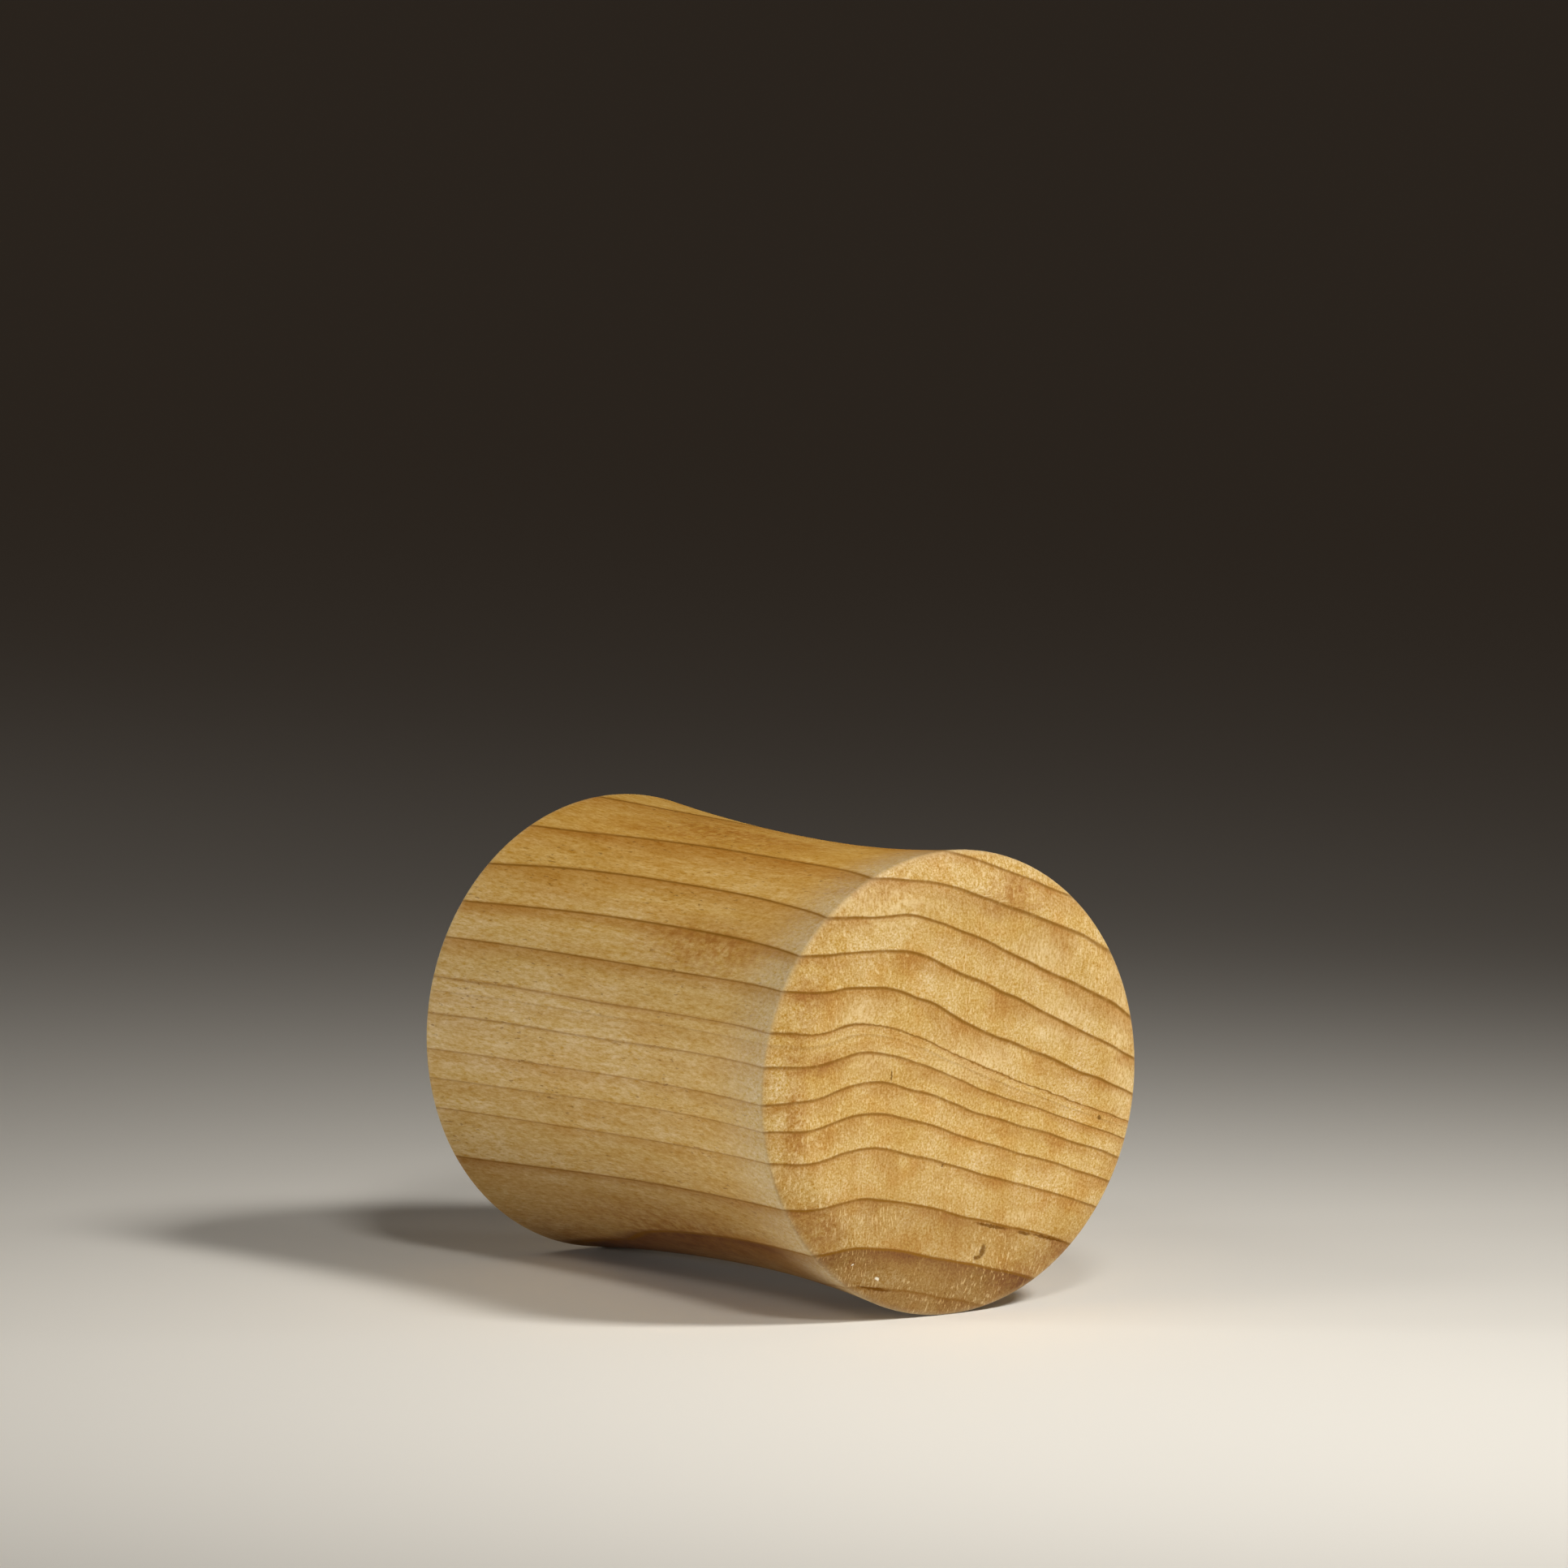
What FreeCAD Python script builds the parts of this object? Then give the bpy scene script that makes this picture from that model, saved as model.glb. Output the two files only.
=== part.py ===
import FreeCAD, Part
import math
import os

# Turned wooden hand shaker, lying on its side.
#
# A waisted wooden body is bored out from its rear end. A round wooden plug closes the bore, and loose
# steel balls lie on the floor of the sealed chamber in rows that run along the turning axis.
#
# Units are millimetres. The turning axis is Y, with the solid front end at -Y and the plugged rear end
# at +Y. +Z is up. The origin is the middle of the turning axis.

# ---- Driving dimensions -----------------------------------------------------------------------------

# Outside of the body
RIM_RADIUS = 25.0          # both rims, where the side meets the rounded shoulders
RIM_SPACING = 61.6         # along the axis, from one rim to the other
WAIST_RADIUS = 23.3        # the narrowest turn of the hollowed side
WAIST_Y = -3.3             # the waist sits a little nearer the front end
SHOULDER_WIDTH = 4.2       # how far in from the rim the end face starts to round over
SHOULDER_START = math.radians(10)      # slope where the shoulder leaves the flat face in a soft crease
SHOULDER_STOP = math.radians(24.5)     # slope at the rim
RIM_EDGE_ROUND = 0.4       # sanded softness of the rim edge

# Inside of the body
FRONT_WALL = 10.0
CHAMBER_RADIUS = 17.0
CHAMBER_CORNER_ROUND = 2.0

# Plug, which rests on the step between its seat and the chamber
PLUG_RADIUS = 18.5
PLUG_THICKNESS = 9.0
PLUG_EDGE_CHAMFER = 0.5
GLUE_GAP = 0.05

# Loose steel balls
BALL_DIAMETER = 4.0
BALL_GAP = 0.1             # between neighbouring balls
WALL_GAP = 0.05            # between a ball and the chamber wall
ROW_COUNT = 7
BALLS_PER_ROW = 6

# ---- Worked out from the driving dimensions ---------------------------------------------------------

RIM_Y = RIM_SPACING / 2
SHOULDER_ARC_RADIUS = SHOULDER_WIDTH / (math.sin(SHOULDER_STOP) - math.sin(SHOULDER_START))
SHOULDER_DROP = SHOULDER_ARC_RADIUS * (math.cos(SHOULDER_START) - math.cos(SHOULDER_STOP))
END_Y = RIM_Y + SHOULDER_DROP
FLAT_RADIUS = RIM_RADIUS - SHOULDER_WIDTH

CHAMBER_FRONT_Y = -END_Y + FRONT_WALL
PLUG_INNER_Y = END_Y - PLUG_THICKNESS
CHAMBER_MIDDLE_Y = (CHAMBER_FRONT_Y + PLUG_INNER_Y) / 2
SEAT_RADIUS = PLUG_RADIUS + GLUE_GAP

BALL_PITCH = BALL_DIAMETER + BALL_GAP
ROW_RADIUS = CHAMBER_RADIUS - WALL_GAP - BALL_DIAMETER / 2
ROW_ANGLE_STEP = 2 * math.asin(BALL_PITCH / 2 / ROW_RADIUS)
CENTRE_ROW = (ROW_COUNT + 1) // 2

ORIGIN = FreeCAD.Vector(0, 0, 0)
AXIS = FreeCAD.Vector(0, 1, 0)


def profile_point(radius, y):
    """A point of the half profile, which lies in the XY plane."""
    return FreeCAD.Vector(radius, y, 0)


def shoulder_arc(end):
    """The rounded shoulder from an end's flat face out to its rim. end is -1 at the front, 1 at the rear."""

    def on_arc(slope):
        radius = FLAT_RADIUS + SHOULDER_ARC_RADIUS * (math.sin(slope) - math.sin(SHOULDER_START))
        y = end * (END_Y - SHOULDER_ARC_RADIUS * (math.cos(SHOULDER_START) - math.cos(slope)))
        return profile_point(radius, y)

    halfway = (SHOULDER_START + SHOULDER_STOP) / 2
    return Part.Arc(on_arc(SHOULDER_START), on_arc(halfway), on_arc(SHOULDER_STOP)).toShape()


def side_arc(end):
    """The hollowed side from a rim to the waist, an arc that is parallel to the axis at the waist."""
    run = end * RIM_Y - WAIST_Y
    rise = RIM_RADIUS - WAIST_RADIUS
    arc_radius = (run**2 + rise**2) / (2 * rise)

    def on_arc(along):
        radius = WAIST_RADIUS + arc_radius - math.sqrt(arc_radius**2 - along**2)
        return profile_point(radius, WAIST_Y + along)

    return Part.Arc(on_arc(run), on_arc(run / 2), on_arc(0)).toShape()


def outer_skin():
    """The body before it is bored: the half profile turned about the axis, with soft rim edges."""
    front_axis_point = profile_point(0, -END_Y)
    rear_axis_point = profile_point(0, END_Y)
    outline = [
        Part.makeLine(front_axis_point, profile_point(FLAT_RADIUS, -END_Y)),
        shoulder_arc(-1),
        side_arc(-1),
        side_arc(1),
        shoulder_arc(1),
        Part.makeLine(profile_point(FLAT_RADIUS, END_Y), rear_axis_point),
        Part.makeLine(rear_axis_point, front_axis_point),
    ]
    face = Part.Face(Part.Wire(Part.sortEdges(outline)[0]))
    turned = face.revolve(ORIGIN, AXIS, 360)
    rim_edges = [edge for edge in turned.Edges if is_rim_edge(edge)]
    return turned.makeFillet(RIM_EDGE_ROUND, rim_edges)


def is_rim_edge(edge):
    """True for the two full circles at the rims."""
    curve = edge.Curve
    return isinstance(curve, Part.Circle) and abs(curve.Radius - RIM_RADIUS) < 1e-4


def disc(radius, front_y, rear_y):
    """A round solid on the axis, from front_y to rear_y."""
    base = FreeCAD.Vector(0, front_y, 0)
    return Part.makeCylinder(radius, rear_y - front_y, base, AXIS)


def chamber_cutter():
    """The chamber's bore, with the rounded corner that a turning tool leaves at its bottom."""
    bore = disc(CHAMBER_RADIUS, CHAMBER_FRONT_Y, END_Y)
    corner = min(bore.Edges, key=lambda edge: edge.CenterOfMass.y)
    return bore.makeFillet(CHAMBER_CORNER_ROUND, [corner])


def turned_body():
    """The one-piece outer body, open at the rear until the plug goes in."""
    plug_seat = disc(SEAT_RADIUS, PLUG_INNER_Y, END_Y)
    return outer_skin().cut(chamber_cutter().fuse(plug_seat))


def end_plug():
    """The plug, flush with the rear face, with a chamfer on its inner edge to start it in its seat."""
    plug = disc(PLUG_RADIUS, PLUG_INNER_Y, END_Y)
    inner_edge = min(plug.Edges, key=lambda edge: edge.CenterOfMass.y)
    return plug.makeChamfer(PLUG_EDGE_CHAMFER, [inner_edge])


def row_offset(row):
    """Every second row lies half a pitch back, so that its balls nest between their neighbours."""
    return BALL_PITCH / 2 * ((row - CENTRE_ROW) % 2) - BALL_PITCH / 4


def shot_row(row):
    """One row of separate balls on the chamber floor. Rows are numbered from -X to +X."""
    swing = (row - CENTRE_ROW) * ROW_ANGLE_STEP
    x = ROW_RADIUS * math.sin(swing)
    z = -ROW_RADIUS * math.cos(swing)
    first_y = CHAMBER_MIDDLE_Y + row_offset(row) - BALL_PITCH * (BALLS_PER_ROW - 1) / 2
    centres = [FreeCAD.Vector(x, first_y + BALL_PITCH * place, z) for place in range(BALLS_PER_ROW)]
    return Part.makeCompound([Part.makeSphere(BALL_DIAMETER / 2, centre) for centre in centres])


def all_parts():
    """Every sub-part by node name."""
    parts = {"turned_body": turned_body(), "end_plug": end_plug()}
    for row in range(1, ROW_COUNT + 1):
        parts[f"shot_row_{row}"] = shot_row(row)
    return parts


os.makedirs("parts", exist_ok=True)
for node, shape in all_parts().items():
    shape.exportStep(f"parts/{node}.step")
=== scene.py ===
import math

import bpy
import numpy as np
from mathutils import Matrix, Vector


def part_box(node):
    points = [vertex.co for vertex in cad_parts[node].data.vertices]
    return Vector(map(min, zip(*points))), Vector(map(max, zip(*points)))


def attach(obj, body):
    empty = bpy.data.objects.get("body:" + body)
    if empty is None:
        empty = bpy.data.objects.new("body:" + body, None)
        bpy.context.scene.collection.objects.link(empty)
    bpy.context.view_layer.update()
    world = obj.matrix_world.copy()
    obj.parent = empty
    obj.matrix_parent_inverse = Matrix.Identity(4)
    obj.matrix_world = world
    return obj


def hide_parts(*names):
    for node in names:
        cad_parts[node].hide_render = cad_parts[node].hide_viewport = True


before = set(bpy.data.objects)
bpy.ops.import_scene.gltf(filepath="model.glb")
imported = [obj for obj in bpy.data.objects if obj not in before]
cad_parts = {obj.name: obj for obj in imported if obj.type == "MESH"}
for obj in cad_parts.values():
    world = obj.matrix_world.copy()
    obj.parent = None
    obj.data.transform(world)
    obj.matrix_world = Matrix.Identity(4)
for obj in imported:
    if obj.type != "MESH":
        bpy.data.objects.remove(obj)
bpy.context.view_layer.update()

# The looks of a turned wooden hand shaker: a waisted body, a plug in its rear end and loose steel shot.
# The turning axis is Y, with the front end at -Y. Lengths are in millimetres for the outlines, the growth
# rings and the wood's shader, and in metres for the floor, the lights and the camera.

MM = 0.001


# ---- Sizes, from the frame --------------------------------------------------------------------------

body_low, body_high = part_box("turned_body")
plug_low, plug_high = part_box("end_plug")

END_Y = body_high.y / MM
RIM_RADIUS = round(body_high.x / MM, 1)     # up to the rim's corner, before that is softened
PLUG_RADIUS = plug_high.x / MM
PLUG_INNER_Y = plug_low.y / MM

# Shape of the outline, as shares of the rim radius
WAIST_SHARE = 0.932
WAIST_Y = -0.132 * RIM_RADIUS
SHOULDER_WIDTH = 0.168 * RIM_RADIUS
SHOULDER_START = math.radians(10)       # slope where the shoulder leaves the flat face in a soft crease
SHOULDER_STOP = math.radians(24.5)      # slope at the rim
RIM_ROUND = 0.016 * RIM_RADIUS

WAIST_RADIUS = WAIST_SHARE * RIM_RADIUS
FLAT_RADIUS = RIM_RADIUS - SHOULDER_WIDTH
SHOULDER_ARC = SHOULDER_WIDTH / (math.sin(SHOULDER_STOP) - math.sin(SHOULDER_START))
SHOULDER_DROP = SHOULDER_ARC * (math.cos(SHOULDER_START) - math.cos(SHOULDER_STOP))
SHOULDER_CENTRE = (FLAT_RADIUS - SHOULDER_ARC * math.sin(SHOULDER_START),
                   END_Y - SHOULDER_ARC * math.cos(SHOULDER_START))
RIM_Y = END_Y - SHOULDER_DROP

# Chamber, hidden inside
CHAMBER_RADIUS = 0.68 * RIM_RADIUS
CHAMBER_FRONT_Y = -END_Y + 0.4 * RIM_RADIUS
GLUE_GAP = 0.05
JOINT_BEVEL = 0.12
PLUG_CHAMFER = 0.5

# Mesh fineness: points round the rims, fewest points round any circle, and steps along the outline
AROUND = 384
FEWEST_AROUND = 24
FACE_STEP = 0.42
RIM_STEP = 0.09
SIDE_STEP = 0.6
LEDGE_STEP = 1.0
HIDDEN_STEP = 3.0


# ---- Growth rings -----------------------------------------------------------------------------------

# How the rings sweep across the end face. Each flow line is the path of one imagined ring: its height
# above the axis at the stations, which are distances to the right of the axis. The flow lines were fitted
# by a helper program to ring lines that it traced in the photo. All but the lowest are as it gave them.
FLOW_STATIONS = np.array((-25.0, -19.0, -12.0, -5.0, 3.0, 12.0, 25.0))
FLOW_LINES = np.array((
    (23.7, 23.6, 22.9, 22.4, 20.3, 16.9, 11.5),
    (16.4, 16.8, 17.1, 16.6, 13.4, 9.2, 2.6),
    (10.3, 9.6, 9.7, 7.6, 3.6, -0.1, -5.0),
    (0.2, 0.4, 1.7, 0.2, -2.8, -5.7, -10.2),
    (-16.2, -16.8, -16.5, -17.8, -19.7, -22.1, -26.2),
))
NAMING_STATION = 2       # which of the stations the rings' heights are given at

# Rings from bark to pith: height at the naming station, and how strongly the line shows at the ends and
# on the side. The same fit gave the heights from 26.3 to -16.6, apart from the faint line at 6.3.
RINGS = (
    (38.0, 0.8, 0.8), (34.0, 0.9, 0.9), (30.2, 0.8, 0.8), (26.3, 0.9, 0.9), (22.6, 0.9, 0.9),
    (18.7, 1.0, 1.0), (15.1, 1.0, 1.0), (11.3, 1.0, 0.9), (7.3, 1.0, 0.6), (6.3, 0.2, 0.2),
    (4.4, 0.9, 0.55), (1.2, 0.9, 0.5), (-2.1, 0.9, 0.45), (-5.8, 0.9, 0.55), (-11.2, 1.0, 0.9),
    (-16.6, 1.0, 1.0), (-20.7, 0.7, 0.6), (-25.0, 0.8, 0.8), (-29.0, 0.8, 0.8),
)
RING_HEIGHTS = np.array([height for height, at_end, at_side in RINGS])
END_STRENGTHS = np.array([at_end for height, at_end, at_side in RINGS])
SIDE_STRENGTHS = np.array([at_side for height, at_end, at_side in RINGS])


def smooth_curve(stations, values, at):
    """A smooth curve through the values at the stations, read at other places."""
    slopes = np.gradient(values, stations)
    left = np.clip(np.searchsorted(stations, at) - 1, 0, len(stations) - 2)
    span = stations[left + 1] - stations[left]
    t = (at - stations[left]) / span
    rise = t * t * (3 - 2 * t)
    bend = span * t * (1 - t) * (slopes[left] * (1 - t) - slopes[left + 1] * t)
    return values[left] * (1 - rise) + values[left + 1] * rise + bend


def flow_height(across, z):
    """The height that the ring through (across, z) has at the naming station."""
    reach = np.clip(across, FLOW_STATIONS[0], FLOW_STATIONS[-1])
    lines = np.array([smooth_curve(FLOW_STATIONS, line, reach) for line in FLOW_LINES])
    names = FLOW_LINES[:, NAMING_STATION]
    height = np.where(z > lines[0], names[0] + z - lines[0], names[-1] + z - lines[-1])
    for upper in range(len(names) - 1):
        inside = (z <= lines[upper]) & (z > lines[upper + 1])
        share = (lines[upper] - z) / (lines[upper] - lines[upper + 1])
        height = np.where(inside, names[upper] * (1 - share) + names[upper + 1] * share, height)
    return height


# How the rings sink from the front end to the rear one: all of them, the low ones and the ones near the
# pith, and how far one ring near the top rises on the way
SAG, LOW_SAG, HEART_SAG = 0.3, 1.9, 3.6
LOWNESS_SPAN = 44.0
HEART_TOP, HEART_FADE = -14.0, 5.5
HUMP_RISE, HUMP_Z, HUMP_REACH = 0.85, 17.5, 5.0
RIPPLE = 0.12


def ring_drift(y, z):
    """How far the rings have sunk at y, compared with the front end. They aren't quite level."""
    along = (y + END_Y) / (2 * END_Y)
    lowness = np.clip(0.5 - z / LOWNESS_SPAN, 0, 1)
    deep = np.clip((HEART_TOP - z) / HEART_FADE, 0, 1.3)
    sag = along**1.3 * (SAG + LOW_SAG * lowness**2 + HEART_SAG * deep)
    hump = HUMP_RISE * np.exp(-((z - HUMP_Z) / HUMP_REACH)**2) * np.sin(2.76 * along**0.7)
    ripple = RIPPLE * np.sin(y / 9 + z / 11) * (1 - along)
    return sag - hump + ripple


def ring_fields(points, at_end):
    """The growth rings' numbers at each point, by the names under which the wood's shader reads them."""
    x, y, z = points.T
    height = flow_height(x, z + ring_drift(y, z))
    numbers = np.arange(len(RINGS), dtype=float)
    ring = np.interp(-height, -RING_HEIGHTS, numbers)
    middles = numbers[:-1] + 0.5
    width = np.interp(ring, middles, -np.diff(RING_HEIGHTS))
    side_strength = np.interp(ring, numbers, SIDE_STRENGTHS)
    strength = side_strength + (np.interp(ring, numbers, END_STRENGTHS) - side_strength) * at_end

    # The way along a ring is x, leaning back with the ring's own slope
    nudge = 0.25
    slope = (flow_height(x + nudge, z) - flow_height(x - nudge, z)) / (2 * nudge)
    fall = np.clip(slope, -0.2, 0.7)
    run = x - fall * z * 0.7
    return {
        "ring": ring,                   # whole on each ring's line, counted from the bark
        "ring_width": width,            # mm
        "line_strength": strength,      # 0 to 1
        "ring_run": run,                # mm
        "end_grain": at_end,            # 0 to 1
    }


# ---- Outline and mesh building ----------------------------------------------------------------------

def spread(start, stop, step):
    """Evenly spaced values from start up to but not including stop, about step apart."""
    count = max(1, round(abs(stop - start) / step))
    return np.linspace(start, stop, count, endpoint=False)


def circles_meet(centre_a, radius_a, centre_b, radius_b):
    """Where two circles cross, both answers."""
    a, b = np.array(centre_a, float), np.array(centre_b, float)
    apart = np.linalg.norm(b - a)
    toward = (b - a) / apart
    along = (radius_a**2 - radius_b**2 + apart**2) / (2 * apart)
    aside = math.sqrt(radius_a**2 - along**2)
    square = np.array((-toward[1], toward[0]))
    return a + along * toward + aside * square, a + along * toward - aside * square


def arc_points(centre, radius, start, stop, step):
    """Points of an arc between two angles, without its last point."""
    angles = spread(start, stop, step / radius)
    return [(centre[0] + radius * math.cos(t), centre[1] + radius * math.sin(t)) for t in angles]


def angle_from(centre, point):
    """The direction of a point as seen from a centre."""
    return math.atan2(point[1] - centre[1], point[0] - centre[0])


def end_outline(end):
    """(radius, y) points from an end's flat face over its shoulder, round its rim and on to the waist.

    end is -1 at the front and 1 at the rear. Worked out for the rear end and mirrored for the front one.
    """
    waist_y = end * WAIST_Y
    run = RIM_Y - waist_y
    rise = RIM_RADIUS - WAIST_RADIUS
    side_radius = (run**2 + rise**2) / (2 * rise)
    side_centre = (WAIST_RADIUS + side_radius, waist_y)
    meets = circles_meet(SHOULDER_CENTRE, SHOULDER_ARC - RIM_ROUND, side_centre, side_radius + RIM_ROUND)
    rim_centre = max(meets, key=lambda point: point[1])
    shoulder_stop = angle_from(SHOULDER_CENTRE, rim_centre)
    rim_stop = angle_from(rim_centre, side_centre)
    shoulder_start = math.pi / 2 - SHOULDER_START
    points = arc_points(SHOULDER_CENTRE, SHOULDER_ARC, shoulder_start, shoulder_stop, FACE_STEP)
    points += arc_points(rim_centre, RIM_ROUND, shoulder_stop, rim_stop, RIM_STEP)
    start_y = rim_centre[1] + RIM_ROUND * math.sin(rim_stop)
    side_ys = spread(start_y, waist_y, SIDE_STEP)
    points += [(side_centre[0] - math.sqrt(side_radius**2 - (y - waist_y)**2), y) for y in side_ys]
    return [(radius, end * y) for radius, y in points]


def body_outline():
    """The closed skin's (radius, y) points: front face, side, rear face, plug seat and chamber."""
    front = [(radius, -END_Y) for radius in spread(0, FLAT_RADIUS, FACE_STEP)] + end_outline(-1)
    rear = end_outline(1) + [(WAIST_RADIUS, WAIST_Y)]
    seat = PLUG_RADIUS + GLUE_GAP
    rear_face = [(radius, END_Y) for radius in spread(FLAT_RADIUS, seat + JOINT_BEVEL, FACE_STEP)][1:]
    seat_wall = [(seat + JOINT_BEVEL, END_Y), (seat, END_Y - JOINT_BEVEL)]
    seat_wall += [(seat, y) for y in spread(END_Y - JOINT_BEVEL, PLUG_INNER_Y, HIDDEN_STEP)][1:]
    ledge = [(radius, PLUG_INNER_Y) for radius in spread(seat, CHAMBER_RADIUS, LEDGE_STEP)]
    wall = [(CHAMBER_RADIUS, y) for y in spread(PLUG_INNER_Y, CHAMBER_FRONT_Y, HIDDEN_STEP)]
    floor = [(radius, CHAMBER_FRONT_Y) for radius in spread(CHAMBER_RADIUS, 0, HIDDEN_STEP)]
    return front + rear[::-1] + rear_face + seat_wall + ledge + wall + floor + [(0, CHAMBER_FRONT_Y)]


def plug_outline():
    """The plug's closed (radius, y) points, from the middle of its inner face round to its outer one."""
    outer_edge_y = END_Y - JOINT_BEVEL
    inner_edge_y = PLUG_INNER_Y + PLUG_CHAMFER
    outer = [(radius, END_Y) for radius in spread(0, PLUG_RADIUS - JOINT_BEVEL, FACE_STEP)]
    wall = [(PLUG_RADIUS - JOINT_BEVEL, END_Y)]
    wall += [(PLUG_RADIUS, y) for y in spread(outer_edge_y, inner_edge_y, HIDDEN_STEP)]
    inner = [(PLUG_RADIUS, inner_edge_y)]
    inner += [(radius, PLUG_INNER_Y) for radius in spread(PLUG_RADIUS - PLUG_CHAMFER, 0, HIDDEN_STEP)]
    return (outer + wall + inner + [(0, PLUG_INNER_Y)])[::-1]


def points_around(radius):
    """How many points a circle of that radius gets: half as many each time it halves."""
    count = AROUND
    while count > FEWEST_AROUND and radius < 0.62 * RIM_RADIUS * count / AROUND:
        count //= 2
    return count


def join_circles(lower, upper):
    """Faces between two circles of point indices, whose counts are equal or two to one.

    A circle on the axis is a single point.
    """
    if len(lower) == 1:
        return [(lower[0], upper[i], upper[(i + 1) % len(upper)]) for i in range(len(upper))]
    if len(upper) == 1:
        return [(lower[(i + 1) % len(lower)], lower[i], upper[0]) for i in range(len(lower))]
    if len(lower) == len(upper):
        count = len(lower)
        steps = [(i, (i + 1) % count) for i in range(count)]
        return [(lower[i], upper[i], upper[after], lower[after]) for i, after in steps]
    faces = []
    if len(lower) > len(upper):
        for i in range(len(upper)):
            a, b, c = lower[2 * i], lower[2 * i + 1], lower[(2 * i + 2) % len(lower)]
            d, e = upper[i], upper[(i + 1) % len(upper)]
            faces += [(a, d, b), (b, d, e), (b, e, c)]
        return faces
    for i in range(len(lower)):
        a, b, c = upper[2 * i], upper[2 * i + 1], upper[(2 * i + 2) % len(upper)]
        d, e = lower[i], lower[(i + 1) % len(lower)]
        faces += [(a, b, d), (b, e, d), (b, c, e)]
    return faces


def turn_outline(outline):
    """Points (mm) and faces of the solid of revolution. The outline starts and ends on the axis."""
    points, circles = [], []
    for radius, y in outline:
        count = 1 if radius < 1e-9 else points_around(radius)
        angles = np.arange(count) * 2 * math.pi / count
        circles.append(list(range(len(points), len(points) + count)))
        points += [(radius * math.cos(t), y, radius * math.sin(t)) for t in angles]
    faces = []
    for lower, upper in zip(circles, circles[1:]):
        faces += join_circles(lower, upper)
    return np.array(points), faces


def make_piece(name, points, faces, fields):
    """A smooth-shaded object from points in mm, carrying one float per point for each field."""
    mesh = bpy.data.meshes.new(name)
    mesh.from_pydata((points * MM).tolist(), [], faces)
    for field, values in fields.items():
        attribute = mesh.attributes.new(field, "FLOAT", "POINT")
        attribute.data.foreach_set("value", values.astype(np.float32))
    mesh.update()
    mesh.shade_smooth()
    piece = bpy.data.objects.new(name, mesh)
    bpy.context.scene.collection.objects.link(piece)
    return piece


RIM_BLEND = 0.3          # over which side grain turns into end grain at the rims


def end_grain_share(points):
    """1 on the end faces, 0 on the side and inside, with a quick change at the rims."""
    x, y, z = points.T
    past_rim = (np.abs(y) - RIM_Y) / RIM_BLEND + 0.5
    on_face = np.abs(y) > END_Y - 0.5
    return np.where(np.hypot(x, z) > CHAMBER_RADIUS, np.clip(past_rim, 0, 1), on_face)


def rim_share(points):
    """1 at the corners of the two rims, fading to 0 a little past their soft edges."""
    x, y, z = points.T
    off_rim = np.hypot(np.hypot(x, z) - RIM_RADIUS, np.abs(y) - RIM_Y)
    return np.clip(1 - off_rim / (1.6 * RIM_ROUND), 0, 1)


# Places on the front face that look paler or darker: distance right of the axis, height above it, and half
# width and half height. The paler places are a painted highlight, and the darker ones are partly stains and
# partly painted shade.
PAINTED_SHEEN_PATCHES = (
    (2.5, 2.2, 6.5, 2.6), (11.5, 13.0, 5.0, 2.6), (8.5, -15.0, 2.5, 0.8), (-8.5, 19.5, 7.5, 2.6),
    (-11.5, 3.5, 3.0, 1.6), (-13.0, 8.5, 3.0, 2.0), (22.5, 2.0, 2.6, 12.0), (14.5, 6.0, 4.5, 3.5),
)
STAIN_AND_SHADE_PATCHES = (
    (-21.3, -1.0, 1.6, 9.0), (-17.5, -14.2, 3.2, 3.2), (9.0, -22.0, 5.0, 2.0), (14.0, -20.0, 4.5, 2.5),
    (-19.5, 10.5, 2.2, 3.0), (8.0, 19.5, 5.0, 2.4), (-18.0, 3.5, 3.0, 1.2),
)

# Darker places on the side that faces -X, partly stains and partly painted shade on the underside: y,
# height, and half length and half height
SIDE_STAIN_AND_SHADE_PATCHES = (
    (-13.0, 14.0, 14.0, 2.6), (4.0, 23.4, 16.0, 0.9), (-3.0, -18.5, 22.0, 4.0), (20.0, -24.5, 20.0, 6.0),
)


def patch_share(across, height, patches):
    """1 in the middle of each patch, fading to 0 a little past its half sizes."""
    share = np.zeros(len(across))
    for middle, level, half_width, half_height in patches:
        off = np.hypot((across - middle) / half_width, (height - level) / half_height)
        share = np.maximum(share, np.clip(1.25 - off, 0, 1))
    return share


def make_body():
    """The body, with the pale and dark places that the photo shows on its front and on the side at -X."""
    points, faces = turn_outline(body_outline())
    fields = ring_fields(points, end_grain_share(points))
    fields["rim"] = rim_share(points)
    x, y, z = points.T
    on_front = y < -RIM_Y
    on_left = (x < 0) & (np.abs(y) < RIM_Y)
    # Pale patches on the front face: a painted highlight where the end grain catches the light
    fields["painted_sheen"] = patch_share(x, z, PAINTED_SHEEN_PATCHES) * on_front
    # Stains, partly painted shade at the left edge of the front face and on the underside
    front_stain_and_shade = patch_share(x, z, STAIN_AND_SHADE_PATCHES) * on_front
    left_stain_and_shade = patch_share(y, z, SIDE_STAIN_AND_SHADE_PATCHES) * on_left
    fields["stain_and_shade"] = front_stain_and_shade + left_stain_and_shade
    return make_piece("TurnedBody", points, faces, fields)


PLUG_TURN = math.radians(118)
PLUG_SHIFT = 5.5


def make_plug():
    """The plug is cut from other stock, so its rings run at another slope and place."""
    points, faces = turn_outline(plug_outline())
    x, y, z = points.T
    stock_x = x * math.cos(PLUG_TURN) - z * math.sin(PLUG_TURN)
    stock_z = x * math.sin(PLUG_TURN) + z * math.cos(PLUG_TURN) + PLUG_SHIFT
    fields = ring_fields(np.column_stack((stock_x, y, stock_z)), end_grain_share(points))
    fields.update({field: np.zeros(len(points)) for field in ("rim", "painted_sheen", "stain_and_shade")})
    return make_piece("EndPlug", points, faces, fields)


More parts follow.
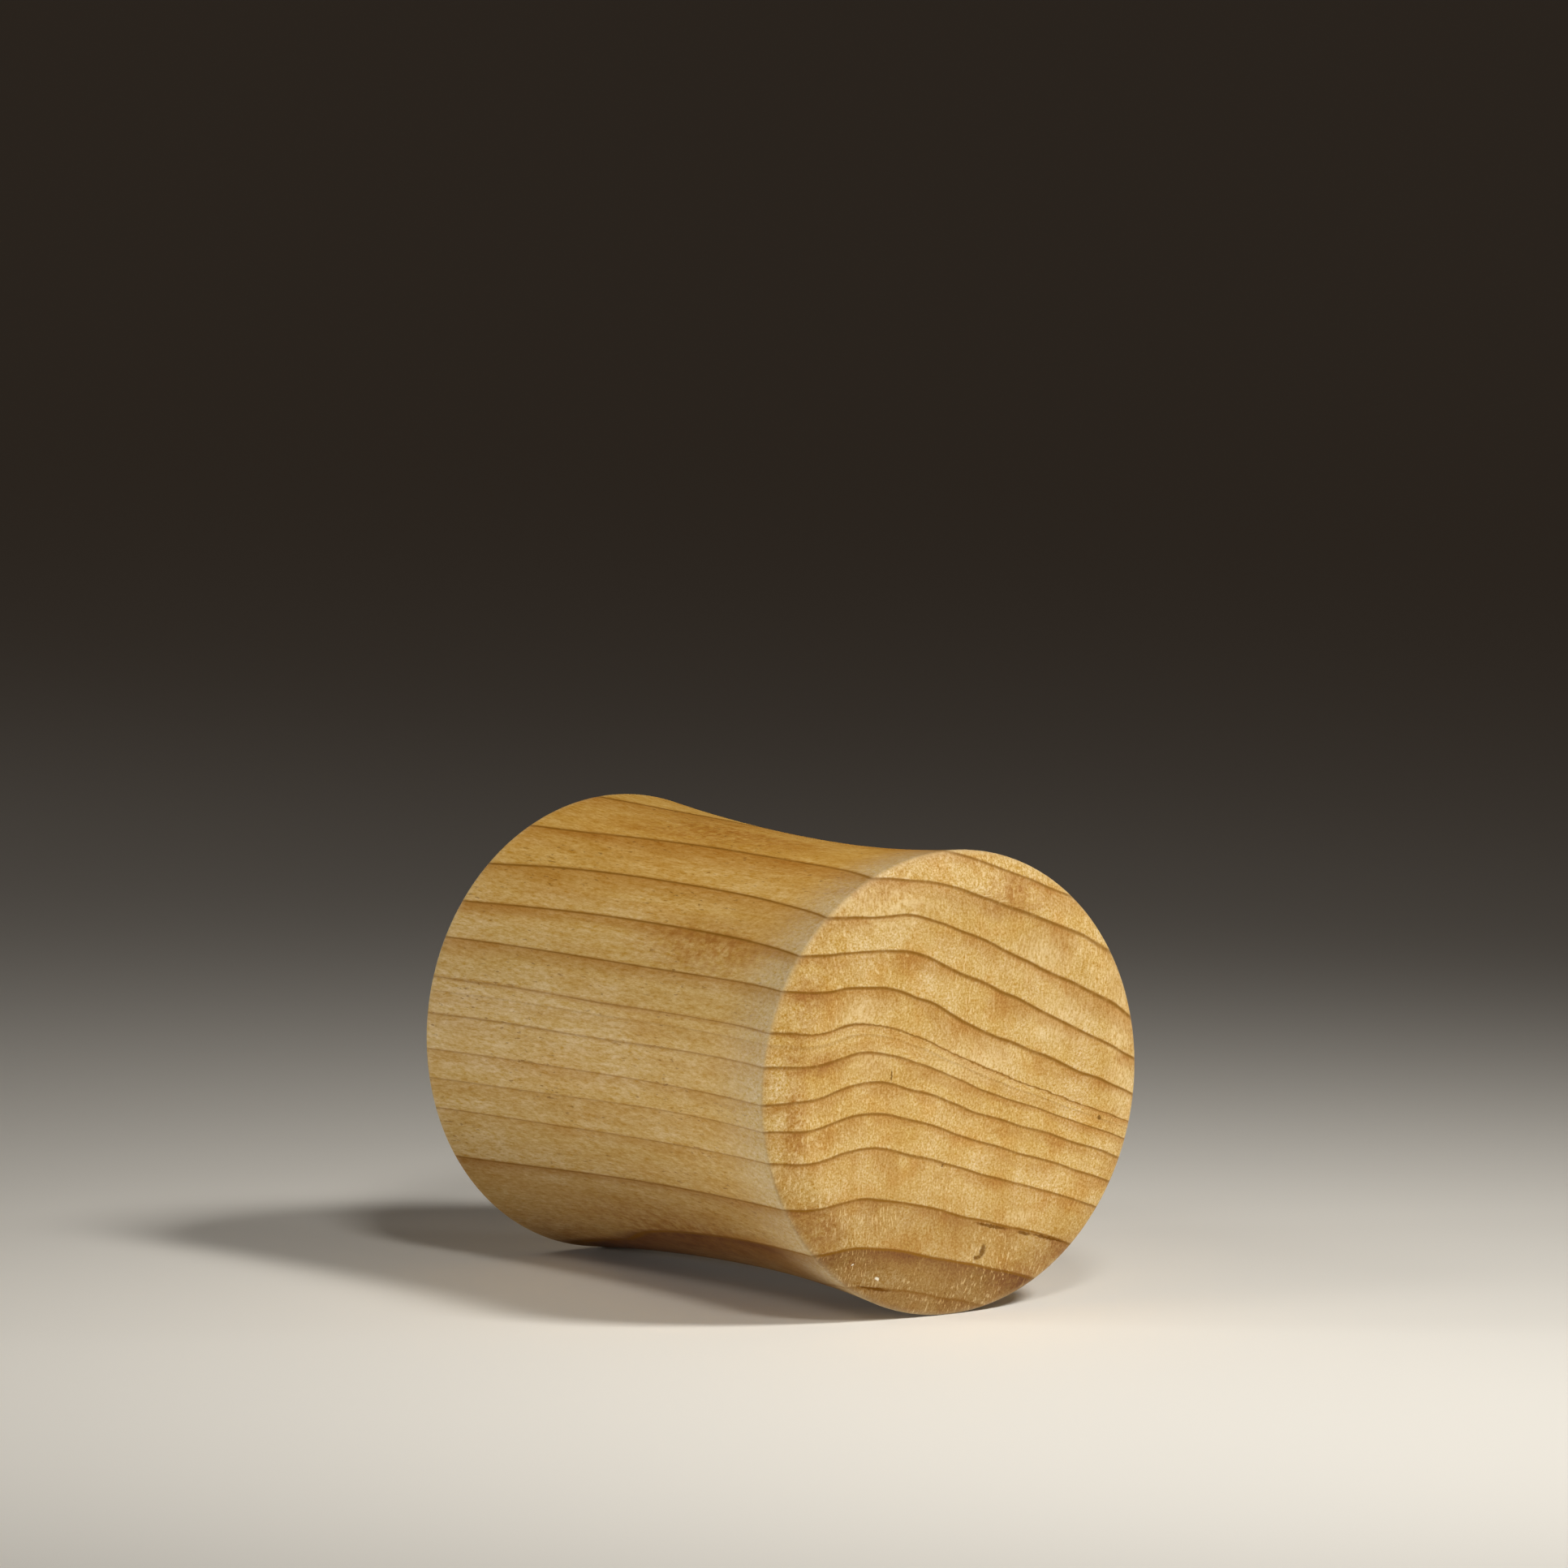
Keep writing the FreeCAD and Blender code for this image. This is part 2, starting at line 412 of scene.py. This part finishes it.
# ---- Materials --------------------------------------------------------------------------------------

# Between which a noise's level stays most of the time
NOISE_LOW, NOISE_HIGH = 0.32, 0.68

# How strongly red, green and blue take part when the grain darkens or lightens the wood
GRAIN_TINT = (0.62, 1.08, 2.8)


class Shader:
    """Adds and links the nodes of one material. Numbers and colours can be values or nodes' outputs."""

    def __init__(self, name):
        self.material = bpy.data.materials.new(name)
        self.material.use_nodes = True
        self.tree = self.material.node_tree
        self.finish = self.tree.nodes["Principled BSDF"]

    def add(self, kind, inputs=None, output=0, **settings):
        """Adds one node with its inputs and settings, and gives the named or numbered output."""
        node = self.tree.nodes.new(kind)
        for key, value in settings.items():
            setattr(node, key, value)
        for key, value in (inputs or {}).items():
            self.set(node.inputs[key], value)
        return node.outputs[output]

    def set(self, socket, value):
        """Gives an input its value, or links it to another node's output."""
        if isinstance(value, bpy.types.NodeSocket):
            self.tree.links.new(value, socket)
        else:
            socket.default_value = value

    def field(self, name):
        """A number that the mesh carries at its points."""
        return self.add("ShaderNodeAttribute", output="Fac", attribute_name=name)

    def calculate(self, operation, first, second=0.0):
        """One step of arithmetic."""
        return self.add("ShaderNodeMath", {0: first, 1: second}, operation=operation)

    def plus(self, first, second):
        return self.calculate("ADD", first, second)

    def minus(self, first, second):
        return self.calculate("SUBTRACT", first, second)

    def times(self, first, second):
        return self.calculate("MULTIPLY", first, second)

    def over(self, first, second):
        return self.calculate("DIVIDE", first, second)

    def larger(self, first, second):
        return self.calculate("MAXIMUM", first, second)

    def curve(self, value, stops):
        """A curve of straight stretches through (position, level) stops, both from 0 to 1."""
        output = self.add("ShaderNodeValToRGB", {0: value})
        ramp = output.node.color_ramp
        while len(ramp.elements) < len(stops):
            ramp.elements.new(0.5)
        for element, (position, level) in zip(ramp.elements, stops):
            element.position = position
            element.color = (level, level, level, 1)
        return output

    def remap(self, value, low, high, new_low=0.0, new_high=1.0):
        """Eases from new_low to new_high while the value goes from low to high, and stays there outside."""
        inputs = {"Value": value, "From Min": low, "From Max": high, "To Min": new_low, "To Max": new_high}
        return self.add("ShaderNodeMapRange", inputs, interpolation_type="SMOOTHSTEP")

    def linear(self, value, low, high, new_low, new_high):
        """The straight line through (low, new_low) and (high, new_high)."""
        inputs = {"Value": value, "From Min": low, "From Max": high, "To Min": new_low, "To Max": new_high}
        return self.add("ShaderNodeMapRange", inputs, clamp=False)

    def noise(self, vector, scale, detail=3.0, roughness=0.55):
        """Noise with so many finer layers, which are stronger the rougher it is."""
        inputs = {"Vector": vector, "Scale": scale, "Detail": detail, "Roughness": roughness}
        return self.add("ShaderNodeTexNoise", inputs)

    def mix(self, share, first, second, blend="MIX"):
        """A mix of two colours, by the second one's share."""
        node = self.tree.nodes.new("ShaderNodeMix")
        node.data_type = "RGBA"
        node.blend_type = blend
        for index, value in ((0, share), (6, first), (7, second)):
            self.set(node.inputs[index], value)
        return node.outputs[2]

    def tinted(self, share, colour, tint):
        """A colour with a share of the tint multiplied over it."""
        return self.mix(share, colour, self.mix(1.0, colour, tint, "MULTIPLY"))

    def vary(self, colour, level, amount):
        """Darkens and lightens a colour by a noise's level. Dark places turn browner, light ones paler."""
        swing = [amount * share for share in GRAIN_TINT]
        share = self.linear(level, NOISE_LOW, NOISE_HIGH, 0.0, 1.0)
        dark, light = ([1 + side * part for part in swing] + [1] for side in (-1, 1))
        tint = self.mix(share, dark, light)
        tint.node.clamp_factor = False
        return self.mix(1.0, colour, tint, "MULTIPLY")

    def bump(self, height, strength, distance):
        """Small relief from a height, for the surface's normal."""
        inputs = {"Height": height, "Strength": strength, "Distance": distance}
        return self.add("ShaderNodeBump", inputs)

    def stretched(self, x, y, z):
        """Object coordinates in mm, each multiplied by its own factor."""
        place = self.add("ShaderNodeTexCoord", output="Object")
        scale = (x / MM, y / MM, z / MM)
        return self.add("ShaderNodeVectorMath", {0: place, 1: scale}, operation="MULTIPLY")

    def vector(self, x, y, z):
        """A place made from three numbers."""
        return self.add("ShaderNodeCombineXYZ", {0: x, 1: y, 2: z})


def colour(red, green, blue):
    """An opaque colour, from linear light."""
    return (red, green, blue, 1.0)


EARLYWOOD_END = colour(0.58, 0.38, 0.125)
HONEY_SIDE = colour(0.60, 0.335, 0.066)
# Partly a painted reflection of the bright floor on the side
PALE_SIDE_AND_REFLECTION = colour(0.60, 0.40, 0.142)
LINE = colour(0.22, 0.098, 0.008)
# Pale torn fibres, and a painted highlight
PALE_FIBRES_AND_SHEEN = colour(0.76, 0.58, 0.30)
# Dust on the sanded rims; on the front flare partly a painted reflection
DUST_AND_REFLECTION = colour(0.54, 0.435, 0.26)
# Dark marks; in the pit the darkness is painted shade
MARK_AND_PIT_SHADE = colour(0.115, 0.042, 0.006)
CHIP = colour(0.82, 0.76, 0.62)
STEEL_DARK = colour(0.50, 0.50, 0.52)
STEEL_LIGHT = colour(0.66, 0.66, 0.67)

# Multiplied over the wood
LATEWOOD = colour(0.70, 0.52, 0.27)
TOAST = colour(0.90, 0.74, 0.42)
# Stains, and in places painted shade
STAIN_AND_SHADE = colour(0.70, 0.51, 0.26)
HEART_END = colour(0.43, 0.335, 0.185)
# Darker on the side, where these rings lie along the underside: partly painted shade
HEART_SIDE_AND_SHADE = colour(0.35, 0.235, 0.11)
WHITE = colour(1, 1, 1)

# The wood darkens towards the pith from one ring on, over so many rings, by (position, darkness) stops.
# The darkening is partly the heartwood's own colour and partly painted shade on the underside, where these
# rings lie.
HEART_START = 12.0
HEART_SPAN = 5.0
HEART_AND_SHADE_STEPS = (
    (0.0, 0.0), (0.2, 0.06), (0.39, 0.22), (0.404, 0.42),
    (0.59, 0.42), (0.606, 1.0), (0.74, 0.80), (1.0, 0.80),
)

# Growth rings in the wood, in mm
RING_WAVER = 0.12        # how far a ring strays from its smooth path
MEAN_RING_WIDTH = 3.6
LATEWOOD_LEAST, LATEWOOD_MOST = 0.8, 4.2
SIDE_LINE_WIDTH, END_LINE_WIDTH = 0.18, 0.34
LATEWOOD_STEPS = ((0.0, 1.0), (0.18, 0.72), (0.5, 0.30), (1.0, 0.0))

# How much of the wood's colour is covered where these are strongest
LINE_COVER = 0.90
MARK_COVER = 0.75
FLECK_COVER = 0.65
RIM_COVER = 0.25         # by dust, on the sanded rim edges

# The pale flare behind the front rim, partly the cut fibres' own look and partly a painted reflection: how
# far behind the front face it starts and is full
FLARE_START, FLARE_FULL = 13.0, 1.0
FLARE_COVER = 0.70

# Finish
SIDE_SPECULAR, END_SPECULAR = 0.25, 0.38
BUMP_STRENGTH = 0.16
BUMP_DEPTH = 0.08 * MM


def ring_shares(s, place, run, end):
    """(latewood, line): how much of each growth ring's two dark parts shows, from the ring fields."""
    ring, width, strength = s.field("ring"), s.field("ring_width"), s.field("line_strength")
    waver = s.linear(s.noise(place, 0.22, detail=0.5), 0.3, 0.7, -RING_WAVER, RING_WAVER)
    position = s.calculate("FRACT", s.plus(ring, s.over(waver, width)))
    below = s.times(position, width)
    above = s.times(s.minus(1.0, position), width)

    # The latewood fades over a depth that changes along the ring, and sets in softly just above its line
    stretch = s.noise(s.vector(s.times(run, 0.16), s.times(ring, 0.9), 0.0), 1.0, detail=3.0, roughness=0.6)
    depth = s.remap(stretch, NOISE_LOW, NOISE_HIGH, LATEWOOD_LEAST, LATEWOOD_MOST)
    band = s.curve(s.over(below, depth), LATEWOOD_STEPS)
    weight = s.remap(stretch, 0.30, 0.62, 0.55, 1.0)
    before = s.remap(above, 0.25, 0.0, 0.0, 0.85)
    latewood = s.times(s.times(s.larger(band, before), strength), weight)

    # The line itself, finer on the side than at the ends
    reach = s.remap(end, 0, 1, SIDE_LINE_WIDTH, END_LINE_WIDTH)
    line_below = s.minus(1.0, s.over(below, reach))
    line_above = s.minus(1.0, s.over(above, s.times(reach, 0.5)))
    line = s.remap(s.larger(line_below, line_above), 0.0, 0.9)
    broken = s.remap(s.noise(place, 1.1, detail=3.0, roughness=0.6), 0.30, 0.55, 0.70, 1.0)
    return latewood, s.times(s.times(line, strength), broken)


def end_grain(s, wood, place, run, depth):
    """(colour, height) of wood cut across the grain: mottling, pores, rays and hair-like torn fibres, with
    painted highlights.
    """
    mottle = s.noise(place, 0.22, detail=1.0)
    speckle = s.noise(place, 3.8, detail=1.5, roughness=0.9)
    rays = s.noise(s.vector(s.times(run, 0.8), s.times(depth, 0.07), 0.0), 1.0, detail=3.0, roughness=0.6)
    hair = s.noise(s.vector(s.times(run, 3.4), s.times(depth, 1.3), 0.0), 1.0, detail=2.0, roughness=0.6)
    wood = s.vary(wood, mottle, 0.09)
    wood = s.vary(wood, speckle, 0.33)
    wood = s.vary(wood, rays, 0.08)
    wood = s.vary(wood, hair, 0.12)
    # The pale patches are a painted highlight, and the pale strokes are torn fibres with a painted
    # highlight
    painted_sheen = s.times(s.field("painted_sheen"), s.remap(hair, 0.40, 0.60, 0.10, 0.60))
    hair_zone = s.remap(s.noise(place, 0.15, detail=1.0), 0.42, 0.58)
    strokes = s.times(s.remap(hair, 0.57, 0.65, 0.0, 0.55), hair_zone)
    wood = s.mix(s.larger(painted_sheen, strokes), wood, PALE_FIBRES_AND_SHEEN)
    return wood, s.plus(s.times(speckle, 0.6), s.times(hair, 0.8))


def side_grain(s, wood, place):
    """(colour, height) of wood cut along the grain: fibres, and short dark ray flecks."""
    fibres = s.noise(s.stretched(3.2, 0.7, 3.2), 1.0, detail=2.0, roughness=0.85)
    blotches = s.noise(s.stretched(0.8, 0.15, 0.8), 1.0, detail=2.0, roughness=0.6)
    fleck_noise = s.noise(s.stretched(3.6, 0.75, 3.6), 1.0, detail=2.0, roughness=0.5)
    fleck_zone = s.remap(s.noise(s.stretched(1, 0.6, 1), 0.14, detail=1.0), 0.40, 0.56)
    flecks = s.times(s.remap(fleck_noise, 0.63, 0.72), fleck_zone)
    wood = s.vary(wood, fibres, 0.22)
    wood = s.vary(wood, blotches, 0.09)
    wood = s.mix(s.times(flecks, FLECK_COVER), wood, LINE)

    # The wood pales slowly from front to rear
    y = s.add("ShaderNodeSeparateXYZ", {0: place}, output="Y")
    wood = s.vary(wood, s.linear(y, -END_Y, END_Y, NOISE_LOW, NOISE_HIGH), 0.06)

    # Where the side flares out to the front rim the cut fibres look speckled and paler; the paleness is
    # partly their own and partly a painted reflection
    flare = s.remap(y, -END_Y + FLARE_START, -END_Y + FLARE_FULL, 0.0, FLARE_COVER)
    speckle = s.noise(s.stretched(3.2, 1.6, 3.2), 1.0, detail=2.0, roughness=0.8)
    wood = s.mix(flare, wood, s.vary(s.mix(0.8, wood, DUST_AND_REFLECTION), speckle, 0.24))
    return wood, s.minus(s.times(fibres, 0.5), s.times(flecks, 0.3))


# Marks on the front face: distance right of the axis, height, half width, half height and lean in degrees.
# The dark ones are torn fibres and a pit; the pit's darkness is painted shade in its hollow.
DARK_MARKS = (
    (3.4, -18.3, 0.38, 0.80, -20), (2.7, -18.9, 0.50, 0.22, 10),
    (4.6, -15.7, 2.20, 0.17, -14), (9.0, -16.85, 0.90, 0.20, -15), (12.4, -17.7, 2.80, 0.15, -16),
    (19.1, -5.2, 0.24, 0.26, 0), (-8.7, 1.6, 0.11, 0.60, -4),
    (-10.5, -21.2, 2.20, 0.16, -12), (-1.9, -8.6, 0.22, 0.14, 30),
)
CHIPS = ((-10.3, -20.1, 0.30, 0.16, -30), (-13.5, -18.3, 0.14, 0.12, 0))
MARK_LENGTH = 1000       # along the axis, so long that a mark's own y doesn't matter
RAGGEDNESS = 0.4         # how far the marks' outlines stray, in mm


def mark_share(s, place, marks):
    """1 on each of the marks, with ragged edges."""
    unrest = s.add("ShaderNodeTexNoise", {"Vector": place, "Scale": 3.0}, output="Color")
    straying = {0: unrest, 1: (RAGGEDNESS,) * 3, 2: place}
    ragged = s.add("ShaderNodeVectorMath", straying, operation="MULTIPLY_ADD")
    share = 0.0
    for across, height, half_width, half_height, lean in marks:
        inputs = {
            "Vector": ragged,
            "Location": (across + RAGGEDNESS / 2, 0, height + RAGGEDNESS / 2),
            "Rotation": (0, -math.radians(lean), 0),
            "Scale": (half_width, MARK_LENGTH, half_height),
        }
        local = s.add("ShaderNodeMapping", inputs, vector_type="TEXTURE")
        off = s.add("ShaderNodeVectorMath", {0: local}, output="Value", operation="LENGTH")
        share = s.larger(share, s.remap(off, 1.25, 0.6))
    y = s.add("ShaderNodeSeparateXYZ", {0: place}, output="Y")
    return s.times(share, s.calculate("LESS_THAN", y, -RIM_Y))


def wood_material(name):
    """Light hardwood with growth rings, seen end on at the ends and along the grain on the side."""
    s = Shader(name)
    place = s.stretched(1, 1, 1)
    end, rim, run, ring = s.field("end_grain"), s.field("rim"), s.field("ring_run"), s.field("ring")
    depth = s.times(ring, MEAN_RING_WIDTH)
    latewood, line = ring_shares(s, s.stretched(1, 0.10, 1), run, end)

    # Honey at the top of the side, paler below: partly the wood, partly a painted reflection of the floor
    side_early_and_reflection = s.mix(s.remap(ring, 3.0, 7.5), HONEY_SIDE, PALE_SIDE_AND_REFLECTION)
    wood = s.mix(end, side_early_and_reflection, EARLYWOOD_END)

    # Clouds of lighter and toasted wood
    clouds = s.noise(s.stretched(1, 0.22, 1), 0.16, detail=2.0, roughness=0.5)
    wood = s.vary(wood, clouds, 0.07)
    toast_clouds = s.noise(s.stretched(1, 0.25, 1), 0.26, detail=2.5, roughness=0.55)
    toasted = s.remap(toast_clouds, 0.46, 0.72, 0.0, 0.75)
    toasted = s.times(toasted, s.remap(end, 0, 1, 0.45, 0.90))
    # Patches of stains, partly painted shade at the left edge of the front face and on the underside
    stain_and_shade_noise = s.remap(s.noise(place, 0.9, detail=4.0, roughness=0.65), 0.36, 0.64, 0.25, 1.0)
    stain_and_shade = s.times(s.field("stain_and_shade"), stain_and_shade_noise)
    wood = s.tinted(toasted, wood, TOAST)
    wood = s.tinted(stain_and_shade, wood, STAIN_AND_SHADE)

    # Darker towards the pith: partly heartwood, partly painted shade on the underside, most of it on the
    # side
    heart_and_shade = s.curve(s.over(s.minus(ring, HEART_START), HEART_SPAN), HEART_AND_SHADE_STEPS)
    heart_and_shade_tint = s.mix(heart_and_shade, WHITE, s.mix(end, HEART_SIDE_AND_SHADE, HEART_END))
    wood = s.mix(1.0, wood, heart_and_shade_tint, "MULTIPLY")

    end_wood, end_height = end_grain(s, wood, place, run, depth)
    side_wood, side_height = side_grain(s, wood, place)
    wood = s.mix(end, side_wood, end_wood)
    wood = s.tinted(latewood, wood, LATEWOOD)
    wood = s.mix(s.times(line, LINE_COVER), wood, LINE)
    # Dark marks: torn fibres, and a pit whose darkness is painted shade
    dark = mark_share(s, place, DARK_MARKS)
    wood = s.mix(s.times(dark, MARK_COVER), wood, MARK_AND_PIT_SHADE)
    wood = s.mix(mark_share(s, place, CHIPS), wood, CHIP)
    wood = s.mix(s.times(rim, RIM_COVER), wood, DUST_AND_REFLECTION)
    s.set(s.finish.inputs["Base Color"], wood)

    # Satin finish, a little drier on the side, and dull in the lines and marks
    side_roughness = s.remap(s.noise(place, 0.2, detail=2.0), 0.3, 0.7, 0.58, 0.66)
    roughness = s.minus(side_roughness, s.times(end, 0.08))
    s.set(s.finish.inputs["Roughness"], roughness)
    dull = s.larger(dark, s.times(line, 0.8))
    specular = s.times(s.remap(end, 0, 1, SIDE_SPECULAR, END_SPECULAR), s.minus(1.0, dull))
    s.set(s.finish.inputs["Specular IOR Level"], specular)

    grain_height = s.add("ShaderNodeMix", {0: end, 2: side_height, 3: end_height})
    height = s.minus(grain_height, s.times(dark, 3.0))
    s.set(s.finish.inputs["Normal"], s.bump(height, BUMP_STRENGTH, BUMP_DEPTH))
    return s.material


def steel_material():
    """Polished shot with fine scuffs."""
    s = Shader("shot_steel")
    place = s.stretched(1, 1, 1)
    steel = s.mix(s.noise(place, 1.5), STEEL_DARK, STEEL_LIGHT)
    scuffs = s.remap(s.noise(place, 3.0, detail=5.0), 0.3, 0.7, 0.14, 0.34)
    s.set(s.finish.inputs["Base Color"], steel)
    s.set(s.finish.inputs["Metallic"], 1.0)
    s.set(s.finish.inputs["Roughness"], scuffs)
    s.set(s.finish.inputs["Normal"], s.bump(s.noise(place, 12.0), 0.1, 0.01 * MM))
    return s.material


# ---- Floor, lights and camera -----------------------------------------------------------------------

FLOOR_Z = body_low.z
FLOOR_HALF_WIDTH = 12.0
FLOOR_COLOUR = colour(0.80, 0.775, 0.715)


def make_floor():
    """A plain pale sheet that the body rests on, wide enough to reach the dark."""
    mesh = bpy.data.meshes.new("Floor")
    corners = [(-1, -1), (1, -1), (1, 1), (-1, 1)]
    points = [(x * FLOOR_HALF_WIDTH, y * FLOOR_HALF_WIDTH, FLOOR_Z) for x, y in corners]
    mesh.from_pydata(points, [], [(0, 1, 2, 3)])
    floor = bpy.data.objects.new("Floor", mesh)
    bpy.context.scene.collection.objects.link(floor)
    s = Shader("floor_paper")
    s.set(s.finish.inputs["Base Color"], FLOOR_COLOUR)
    s.set(s.finish.inputs["Roughness"], 0.7)
    s.set(s.finish.inputs["Specular IOR Level"], 0.3)
    mesh.materials.append(s.material)


def direction(azimuth, elevation):
    """A unit vector from the object outwards. Azimuth 0 is in front, at -Y, and 90 is at +X."""
    a, e = math.radians(azimuth), math.radians(elevation)
    return Vector((math.sin(a) * math.cos(e), -math.cos(a) * math.cos(e), math.sin(e)))


LIGHT_COLOUR = (1.0, 0.975, 0.94)


def soft_light(name, azimuth, elevation, distance, size, power, spread, aim_ahead=0.0):
    """A square softbox. Its grid keeps the light within the spread. Angles are in degrees.

    It faces a point aim_ahead metres in front of the object's middle.
    """
    data = bpy.data.lights.new(name, "AREA")
    data.shape = "SQUARE"
    data.size = size
    data.energy = power
    data.spread = math.radians(spread)
    data.color = LIGHT_COLOUR
    light = bpy.data.objects.new(name, data)
    light.location = direction(azimuth, elevation) * distance
    outward = light.location - Vector((0, -aim_ahead, 0))
    light.rotation_euler = outward.to_track_quat("Z", "Y").to_euler()
    light.visible_camera = False
    bpy.context.scene.collection.objects.link(light)


WORLD_STRENGTH = 0.028
WORLD_COLOUR = (1.0, 0.77, 0.60)


def make_world():
    """Dim, even light from all round. The camera sees it as dark as the far floor, so no skyline shows."""
    world = bpy.data.worlds.new("Studio")
    world.use_nodes = True
    tree = world.node_tree
    background = tree.nodes["Background"]
    background.inputs["Color"].default_value = colour(*WORLD_COLOUR)
    background.inputs["Strength"].default_value = WORLD_STRENGTH
    seen = tree.nodes.new("ShaderNodeBackground")
    seen.inputs["Color"].default_value = colour(*(a * b for a, b in zip(WORLD_COLOUR, FLOOR_COLOUR)))
    seen.inputs["Strength"].default_value = WORLD_STRENGTH
    rays = tree.nodes.new("ShaderNodeLightPath")
    choice = tree.nodes.new("ShaderNodeMixShader")
    tree.links.new(rays.outputs["Is Camera Ray"], choice.inputs[0])
    tree.links.new(background.outputs[0], choice.inputs[1])
    tree.links.new(seen.outputs[0], choice.inputs[2])
    tree.links.new(choice.outputs[0], tree.nodes["World Output"].inputs["Surface"])
    bpy.context.scene.world = world


# Fitted by a helper program to the outline in the photo
CAMERA_AZIMUTH = -36.34
CAMERA_ELEVATION = 7.84
CAMERA_DISTANCE = 1.69
CAMERA_LENS = 358.5      # mm
AIM_UP = 28.9 * MM
AIM_RIGHT = 0.6 * MM


def make_camera():
    """A long lens from a little above, aimed over the top of the object."""
    data = bpy.data.cameras.new("Camera")
    data.lens = CAMERA_LENS
    data.clip_start, data.clip_end = 0.1, 40
    camera = bpy.data.objects.new("Camera", data)
    outward = direction(CAMERA_AZIMUTH, CAMERA_ELEVATION)
    aim = outward.to_track_quat("Z", "Y") @ Vector((AIM_RIGHT, AIM_UP, 0))
    camera.location = outward * CAMERA_DISTANCE
    camera.rotation_euler = (camera.location - aim).to_track_quat("Z", "Y").to_euler()
    bpy.context.scene.collection.objects.link(camera)
    bpy.context.scene.camera = camera


# ---- The scene --------------------------------------------------------------------------------------

body = make_body()
body.data.materials.append(wood_material("body_wood"))
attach(body, "shell")
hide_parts("turned_body")

plug = make_plug()
plug.data.materials.append(wood_material("plug_wood"))
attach(plug, "shell")
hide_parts("end_plug")

steel = steel_material()
for node_name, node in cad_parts.items():
    if node_name.startswith("shot_row"):
        node.data.materials.clear()
        node.data.materials.append(steel)

make_floor()
make_world()

# Azimuth, elevation, distance, size, power and spread. They come from a helper program's search for lights
# that match the photo's brightness, rounded, and with a little more power in HighLeft and Rear.
soft_light("Key", 25, 45, 0.81, 0.17, 0.362, 42, aim_ahead=0.136)
soft_light("Front", -23, 43, 0.75, 0.12, 0.094, 45)
soft_light("LowRight", 53, 7, 0.65, 0.12, 0.028, 35, aim_ahead=-0.05)
soft_light("HighLeft", -102, 41, 0.49, 0.12, 0.009, 31)
soft_light("LowLeft", -122, 6, 0.81, 0.12, 0.118, 30, aim_ahead=0.16)
soft_light("Rear", 172, 5, 1.18, 0.16, 0.026, 30, aim_ahead=0.112)

make_camera()
bpy.context.scene.view_settings.view_transform = "Standard"
